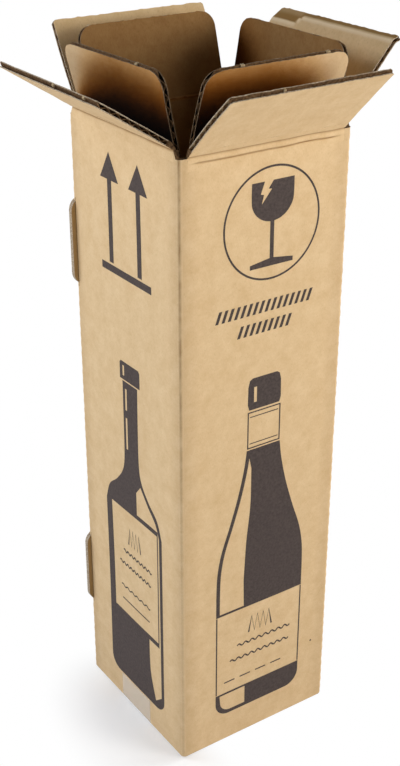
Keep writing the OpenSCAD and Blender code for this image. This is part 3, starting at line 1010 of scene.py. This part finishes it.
def base_tape():
    """Film pressed over the base seam and up the left and right walls, cut with a toothed blade."""
    half = wall_reach("left_flap")
    path = [(-half, TAPE_RISE + (FOOT_R - TAPE_RISE) * i / TAPE_WALL_STEPS) for i in range(TAPE_WALL_STEPS)]
    for i in range(TAPE_FOOT_STEPS + 1):
        angle = math.pi / 2 * i / TAPE_FOOT_STEPS
        path.append((-half + FOOT_R * (1 - math.cos(angle)), FOOT_R * (1 - math.sin(angle))))
    path += [(-half + FOOT_R + TAPE_BASE_STEP * i, 0.0) for i in range(1, TAPE_BASE_STEPS + 1)]
    path += [(-x, z) for x, z in reversed(path)]
    points = []
    for column in range(TAPE_COLUMNS + 1):
        y = TAPE_W * (column / TAPE_COLUMNS - 0.5)
        tooth = abs((y / TAPE_TOOTH) % 1 - 0.5) * TAPE_TOOTH
        for lift in (TAPE_LIFT, TAPE_LIFT + TAPE_T):
            for i, (x, z) in enumerate(path):
                run = heading(path, i)
                # Under the foot the film is pressed flat
                out = lift * 0.5
                if z > FOOT_R:
                    spot = Vector(c / wave for c, wave in zip((x, y, z), TAPE_WRINKLE_WAVE))
                    out = lift + TAPE_WRINKLE * max(noise.noise(spot), 0)
                cut = tooth if i in (0, len(path) - 1) else 0
                points.append((x + run.y * out, y, z - run.x * out + cut))
    faces, _ = bent_sheet_faces(TAPE_COLUMNS, len(path))
    piece = mesh_piece("base_tape_film", points, faces, [TAPE])
    outward_faces(piece)
    return settle(piece, "carton", "clear_tape", "base_tape")


# Print: outlines are lists of points along the wall and up from the floor, in mm

# Thickness of the ink and how far its middle lies off the wall
INK_T = 0.04
INK_LIFT = 0.05
# The outlines are drawn a little large: their share of that size, and each wall's shift along and up
PRINT_SCALE = 0.986
PRINT_SHIFT = {"front_flap": (-0.53, 1.36), "left_flap": (1.12, 1.6)}
# Widest face of a field of ink, so that it follows the wall
INK_CELL = 8
# Steps of a smooth line from one given point to the next
CURVE_STEPS = 6


def box(left, low, right, high):
    return [(left, low), (right, low), (right, high), (left, high)]


def mirrored(x, half):
    """Outline from its right half, which is given as distances from x and heights."""
    return [(x + w, z) for w, z in half] + [(x - w, z) for w, z in reversed(half)]


def stroke(points, width):
    """Outline of a line of this width through the points."""
    one_side, other_side = [], []
    for i, point in enumerate(points):
        run = heading(points, i)
        off = Vector((-run.y, run.x)) * width / 2
        one_side.append((point[0] + off.x, point[1] + off.y))
        other_side.append((point[0] - off.x, point[1] - off.y))
    return one_side + other_side[::-1]


def curve_through(points):
    """Smooth line through a few points."""
    made = []
    for i in range(len(points) - 1):
        p0, p1 = points[max(i - 1, 0)], points[i]
        p2, p3 = points[i + 1], points[min(i + 2, len(points) - 1)]
        for step in range(CURVE_STEPS):
            t = step / CURVE_STEPS
            made.append(tuple(
                0.5 * (2 * b + (c - a) * t + (2 * a - 5 * b + 4 * c - d) * t ** 2
                       + (3 * b - a - 3 * c + d) * t ** 3)
                for a, b, c, d in zip(p0, p1, p2, p3)))
    return made + [tuple(points[-1])]


def ink_piece(name, child, outlines):
    """Field of ink on a wall. An outline inside another leaves a bare place."""
    flat = bpy.data.curves.new(name, "CURVE")
    flat.dimensions = "2D"
    flat.fill_mode = "BOTH"
    flat.extrude = INK_T / 2
    for outline in outlines:
        line = flat.splines.new("POLY")
        line.points.add(len(outline) - 1)
        line.points.foreach_set("co", [c for x, z in outline for c in (x, z, 0, 1)])
        line.use_cyclic_u = True
    mesh = plain_mesh(link_object(name + "_source", flat), name)
    shape = bmesh.new()
    shape.from_mesh(mesh)
    bmesh.ops.remove_doubles(shape, verts=shape.verts, dist=0.001)
    shift = PRINT_SHIFT[child]
    for vertex in shape.verts:
        vertex.co.x = vertex.co.x * PRINT_SCALE + shift[0]
        vertex.co.y = vertex.co.y * PRINT_SCALE + shift[1]
    # Cut into small faces that follow the wall
    xs = [v.co.x for v in shape.verts]
    zs = [v.co.y for v in shape.verts]
    for low, high, normal in ((min(xs), max(xs), (1, 0, 0)), (min(zs), max(zs), (0, 1, 0))):
        for i in range(1, int((high - low) / INK_CELL) + 1):
            spot = Vector(normal) * (low + INK_CELL * i)
            geometry = shape.verts[:] + shape.edges[:] + shape.faces[:]
            bmesh.ops.bisect_plane(shape, geom=geometry, dist=0.0001, plane_co=spot, plane_no=normal)
    bmesh.ops.triangulate(shape, faces=shape.faces)
    side = OUTER_FLAPS.index(child)
    place = wall_matrix(child)
    for vertex in shape.verts:
        u, z, lift = vertex.co
        lift += INK_LIFT + wall_swell(side, u, z)
        vertex.co = place @ Vector((u, -lift, z)) * MM
    bmesh.ops.recalc_face_normals(shape, faces=shape.faces)
    shape.to_mesh(mesh)
    shape.free()
    mesh.materials.clear()
    mesh.materials.append(INK)
    return settle(link_object(name, mesh), "carton", "carton_board")


def print_arrows():
    """Two upright arrows on a bar, the usual sign for this way up."""
    shapes = [box(-24.8, 304.9, 26.9, 309.3)]
    for x in (-14.2, 15.3):
        shapes.append([(x - 2.15, 310.6), (x + 2.15, 310.6), (x + 2.15, 358.4), (x + 9.5, 358.4),
                       (x, 374), (x - 9.5, 358.4), (x - 2.15, 358.4)])
    ink_piece("print_arrows", "left_flap", shapes)


def print_glass():
    """Cracked wine glass in a ring, the usual sign for breakable goods."""
    x = 4.1
    ring = [arc(x, 342.5, r, 0, 360, 96)[:-1] for r in (31.95, 30.8)]
    half = curve_through([(13.9, 366.2), (13.95, 357.6), (13.2, 352.4), (10.2, 347.8), (5.8, 344.8),
                          (1.3, 343.6)])
    half += [(1.3, 322.9), (14.4, 321), (14.4, 318.5)]
    crack = [(x - 5.6, 366.2), (x - 8.1, 359.5), (x - 6, 359), (x - 7.3, 353.8), (x - 0.8, 361.6),
             (x - 3, 361.9), (x + 0.2, 366.2)]
    ink_piece("print_glass_sign", "front_flap", ring + [mirrored(x, half) + crack])


def print_hatch_rows():
    """Two plain rows of slanted bars under the ring."""
    shapes = []
    bar, gap, lean = 2.0, 2.1, 2.6
    for left, right, low, high in ((-32.6, 33.9, 292, 299), (-18, 19, 280, 287)):
        count = int((right - left - lean) / (bar + gap))
        for i in range(count + 1):
            x = left + i * (bar + gap)
            shapes.append([(x, low), (x + bar, low), (x + bar + lean, high), (x + lean, high)])
    ink_piece("print_hatch_rows", "front_flap", shapes)


def zigzag(x, z, width, rise, peaks, line):
    """Zigzag line with its foot at this height."""
    points = []
    for i in range(2 * peaks + 1):
        points.append((x + width * (i / (2 * peaks) - 0.5), z + (rise if i % 2 else 0)))
    return stroke(points, line)


def ripple(x, z, width, rise, waves, line):
    """Wavy line about this height."""
    steps = 8 * waves
    points = [(x + width * (i / steps - 0.5), z + rise * math.sin(2 * math.pi * waves * i / steps))
              for i in range(steps + 1)]
    return stroke(points, line)


def label_marks(x, top, width):
    """Plain marks that stand for the print on a bottle's label."""
    return [zigzag(x, top - 20, 0.3 * width, 12, 4, 1.1), ripple(x + 3, top - 27, 0.7 * width, 0.9, 8, 1.0),
            ripple(x, top - 37, 0.78 * width, 0.9, 9, 1.0)]


def print_front_bottle():
    """Bottle with sloping shoulders."""
    x = 1.8
    cap = mirrored(x, [(10.6, 233.5), (11.6, 237), (11.4, 248), (10.4, 252), (8.5, 253.2)])
    shapes = [cap, box(x - 7.4, 238, x - 5.4, 247.5)]
    shapes += [box(x - 11.6, 208.5, x + 11.6, 232.3), box(x - 10.8, 209.3, x + 10.8, 231.5)]
    shapes += [box(x - 10, 228.6, x + 10, 229.2), box(x - 10, 211.4, x + 10, 212)]
    # Shoulder and body above the label, with a bare strip of light down the left
    half = curve_through([(11.8, 207.6), (13.6, 195), (17.6, 178), (23.2, 160), (29, 143), (31.8, 128),
                          (32.4, 112)])
    glow_out = [(x + 2.6 - w, z) for w, z in half if z < 204] + [(x - 29.8, 99)]
    glow_in = [(x - 12, 99)] + curve_through([(x - 12.5, 118), (x - 11, 145), (x - 8.4, 170), (x - 8.2, 195)])
    shapes += [mirrored(x, half + [(32.4, 97.4)]), glow_out + glow_in]
    # Label, framed at its sides
    shapes += [box(x - 32.4, 37.5, x - 31.5, 97), box(x + 31.5, 37.5, x + 32.4, 97)]
    shapes += label_marks(x + 1, 97, 58)
    shapes += [stroke([(x - 26 + 12 * i, 45), (x - 18 + 12 * i, 45)], 0.9) for i in range(4)]
    # Body below the label
    foot = [(x - 32.4, 37)] + arc(x - 22.4, 30, 10, 180, 270, 10) + arc(x + 22.4, 30, 10, 270, 360, 10)
    foot += [(x + 32.4, 37)]
    bare = [(x - 29.4, 35.6)] + arc(x - 21, 30.6, 8, 180, 270, 10) + [(x - 10, 22.6), (x - 10, 35.6)]
    ink_piece("print_front_bottle", "front_flap", shapes + [foot, bare])


def print_left_bottle():
    """Bottle with high shoulders."""
    x = 1.6
    lip = mirrored(x, [(10.6, 241.5), (10.6, 251.5), (9.4, 253)])
    half = curve_through([(7.9, 240.6), (7.7, 215), (8, 190), (10.6, 179), (18, 169.5), (27, 161.5),
                          (31.6, 150)])
    half += [(31.8, 28)] + arc(22.8, 28, 9, 0, -90, 8)[1:]
    shapes = [lip, box(x - 7.6, 244, x - 5.8, 250.5), mirrored(x, half)]
    # Bare lines of light on the neck
    shapes += [box(x - 5.4, 222, x - 3.6, 236), box(x - 5.4, 196, x - 3.6, 217)]
    # Bare strip down the right of the shoulder, beside and below the label
    glow = curve_through([(x + 9, 176), (x + 17, 166.5), (x + 25, 158.5), (x + 28.6, 150)])
    glow += [(x + 28.8, 30)] + curve_through([(x + 22, 24), (x + 16.5, 44), (x + 15.5, 68.6)])
    glow += [(x + 27.2, 68.6), (x + 27.2, 154.2), (x + 4, 154.2), (x + 4, 170)]
    shapes.append(glow)
    # Label
    shapes.append(box(x - 25.2, 72, x + 26.2, 151))
    shapes += label_marks(x, 147, 46)
    shapes += [ripple(x, 92, 34, 0.7, 6, 0.9), stroke([(x - 16, 82), (x + 16, 82)], 0.9)]
    ink_piece("print_left_bottle", "left_flap", shapes)


def print_speck():
    """Stray speck of ink."""
    ink_piece("print_speck", "front_flap", [arc(44.3, 48.8, 0.7, 0, 360, 10)[:-1]])


# Build

make_walls()
for number, child in enumerate(OUTER_FLAPS + INNER_FLAPS):
    make_flap(child, number + 1)
    fold_strip(child)
for number, (child, z) in enumerate(BASE_FLAPS):
    base_flap(child, z, BASE_SEED + number)
for z in TAB_LOW_Z:
    corner_tab(z)
for number, flake in enumerate(FLAKES):
    torn_flake(number, *flake)
base_tape()
print_arrows()
print_glass()
print_hatch_rows()
print_front_bottle()
print_left_bottle()
print_speck()


# Stage, in metres: white floor that keeps the shadow, soft light from both sides, camera at the
# photograph's place

FLOOR_R = 0.45
FLOOR_CORNERS = 64
FLOOR_Z = -0.0004
# Where the floor's shadow is deepest, beside the foot of the left wall, and how much sooner it fades
# away from the wall than along it
SHADOW_MIDDLE = (-0.06, -0.02, 0.0)
SHADOW_FADE = (1.8, 1.0, 1.0)
# How far from the walls a painted contact shadow makes the floor deeper still
WALL_SHADOW = 0.03
WHITE = "#ffffff"

# Softboxes: place, target, power in watts and colour
SOFTBOX_SIZE = 0.7
SOFTBOXES = {
    "right_softbox": ((0.75, -1.15, 0.6), (0, 0, 0.25), 9.8, "#fff8ee"),
    "left_softbox": ((-1.25, -0.25, 0.2), (0, 0, 0.2), 4.0, "#f4faff"),
    "rear_left_softbox": ((-0.95, 0.95, 1.0), (0, 0, 0.35), 11.5, "#f8faff"),
    "right_rim_softbox": ((1.25, -0.35, 0.75), (0, 0, 0.35), 9.0, "#fffaf2"),
}

# Camera: focal length and optical centre in pixels of the 400 by 766 frame, place, and turn in degrees
IMAGE_W, IMAGE_H = 400, 766
FOCAL_PX = 1267.13
CENTRE_PX = (200.65, 391.49)
CAMERA_PLACE = (-0.38120, -0.55659, 0.56140)
CAMERA_TURN = (90 - 26.99, 0.0, -34.08)
SENSOR = 36.0
CLIP_START = 0.01


def white_to_camera(tree):
    """Output that is 1 for rays that show the background: camera, glossy and transmission rays."""
    path = add_node(tree, "ShaderNodeLightPath").outputs
    seen = add_node(tree, "ShaderNodeMath",
                    {0: path["Is Camera Ray"], 1: path["Is Glossy Ray"]}, operation="MAXIMUM")
    shown = add_node(tree, "ShaderNodeMath", {0: seen, 1: path["Is Transmission Ray"]}, operation="MAXIMUM")
    return shown.outputs[0]


def make_floor():
    mesh = bpy.data.meshes.new("floor")
    rim = arc(0, 0, FLOOR_R, 0, 360, FLOOR_CORNERS)[:-1]
    mesh.from_pydata([(x, y, FLOOR_Z) for x, y in rim], [], [range(FLOOR_CORNERS)])
    floor = link_object("floor", mesh)
    material = bpy.data.materials.new("white_studio_floor")
    tree = empty_tree(material)
    shown = white_to_camera(tree)
    # Shadow shows near the object and fades to plain white further out and to the right
    place = add_node(tree, "ShaderNodeTexCoord").outputs["Object"]
    offset = add_node(tree, "ShaderNodeVectorMath", {0: place, 1: SHADOW_MIDDLE}, operation="SUBTRACT")
    stretched = add_node(tree, "ShaderNodeVectorMath", {0: offset, 1: SHADOW_FADE}, operation="MULTIPLY")
    distance = add_node(tree, "ShaderNodeVectorMath", {0: stretched}, operation="LENGTH")
    away = add_node(tree, "ShaderNodeMapRange",
                    {"Value": distance.outputs["Value"], "From Min": 0.03, "From Max": 0.1},
                    interpolation_type="SMOOTHSTEP")
    axes = add_node(tree, "ShaderNodeSeparateXYZ", {"Vector": place})
    right = add_node(tree, "ShaderNodeMapRange",
                     {"Value": axes.outputs["X"], "From Min": -0.065, "From Max": -0.025},
                     interpolation_type="SMOOTHSTEP")
    whiter = add_node(tree, "ShaderNodeMath", {0: away, 1: right}, operation="MAXIMUM")
    far_white = add_node(tree, "ShaderNodeMath", {0: whiter, 1: shown}, operation="MULTIPLY")
    matt = add_node(tree, "ShaderNodeBsdfDiffuse", {"Color": linear("#e8ebf1")})
    # Painted contact shadow, deeper close to the walls
    gap = add_node(tree, "ShaderNodeAmbientOcclusion", {"Distance": WALL_SHADOW})
    level = add_node(tree, "ShaderNodeMapRange",
                     {"Value": gap.outputs["AO"], "From Min": 0.5, "To Min": 0.23, "To Max": 0.39})
    lift = add_node(tree, "ShaderNodeMath", {0: shown, 1: level}, operation="MULTIPLY")
    glow = add_node(tree, "ShaderNodeEmission", {"Color": linear(WHITE), "Strength": lift})
    near = add_node(tree, "ShaderNodeAddShader", {0: matt, 1: glow})
    white = add_node(tree, "ShaderNodeEmission", {"Color": linear(WHITE), "Strength": 1.0})
    mixed = add_node(tree, "ShaderNodeMixShader", {0: far_white, 1: near, 2: white})
    add_node(tree, "ShaderNodeOutputMaterial", {"Surface": mixed})
    mesh.materials.append(material)


def make_world():
    """White where it is seen. As light it is brighter round the sides than overhead, as in a light tent."""
    world = bpy.data.worlds.new("light_tent")
    bpy.context.scene.world = world
    tree = empty_tree(world)
    place = add_node(tree, "ShaderNodeTexCoord").outputs["Generated"]
    axes = add_node(tree, "ShaderNodeSeparateXYZ", {"Vector": place})
    level = add_node(tree, "ShaderNodeMapRange",
                     {"Value": axes.outputs["Z"], "From Min": 0.06, "From Max": 0.42,
                      "To Min": 0.72, "To Max": 0.05}, interpolation_type="SMOOTHSTEP")
    shown = white_to_camera(tree)
    tent = add_node(tree, "ShaderNodeBackground", {"Color": linear("#fdfbf6"), "Strength": level})
    white = add_node(tree, "ShaderNodeBackground", {"Color": linear(WHITE), "Strength": 1.0})
    mixed = add_node(tree, "ShaderNodeMixShader", {0: shown, 1: tent, 2: white})
    add_node(tree, "ShaderNodeOutputWorld", {"Surface": mixed})


def soft_light(name, place, target, energy, colour):
    light = bpy.data.lights.new(name, "AREA")
    light.shape = "DISK"
    light.size = SOFTBOX_SIZE
    light.energy = energy
    light.color = linear(colour)[:3]
    lamp = link_object(name, light)
    lamp.location = place
    lamp.rotation_mode = "QUATERNION"
    lamp.rotation_quaternion = (Vector(target) - Vector(place)).to_track_quat("-Z", "Y")


def make_camera():
    lens = bpy.data.cameras.new("camera")
    lens.sensor_width = SENSOR
    lens.lens = SENSOR * FOCAL_PX / IMAGE_H
    lens.shift_x = (IMAGE_W / 2 - CENTRE_PX[0]) / IMAGE_H
    lens.shift_y = (CENTRE_PX[1] - IMAGE_H / 2) / IMAGE_H
    lens.clip_start = CLIP_START
    camera = link_object("camera", lens)
    camera.location = CAMERA_PLACE
    camera.rotation_euler = [math.radians(a) for a in CAMERA_TURN]
    bpy.context.scene.camera = camera


make_floor()
make_world()
for name, settings in SOFTBOXES.items():
    soft_light(name, *settings)
make_camera()
bpy.context.scene.view_settings.view_transform = "Standard"
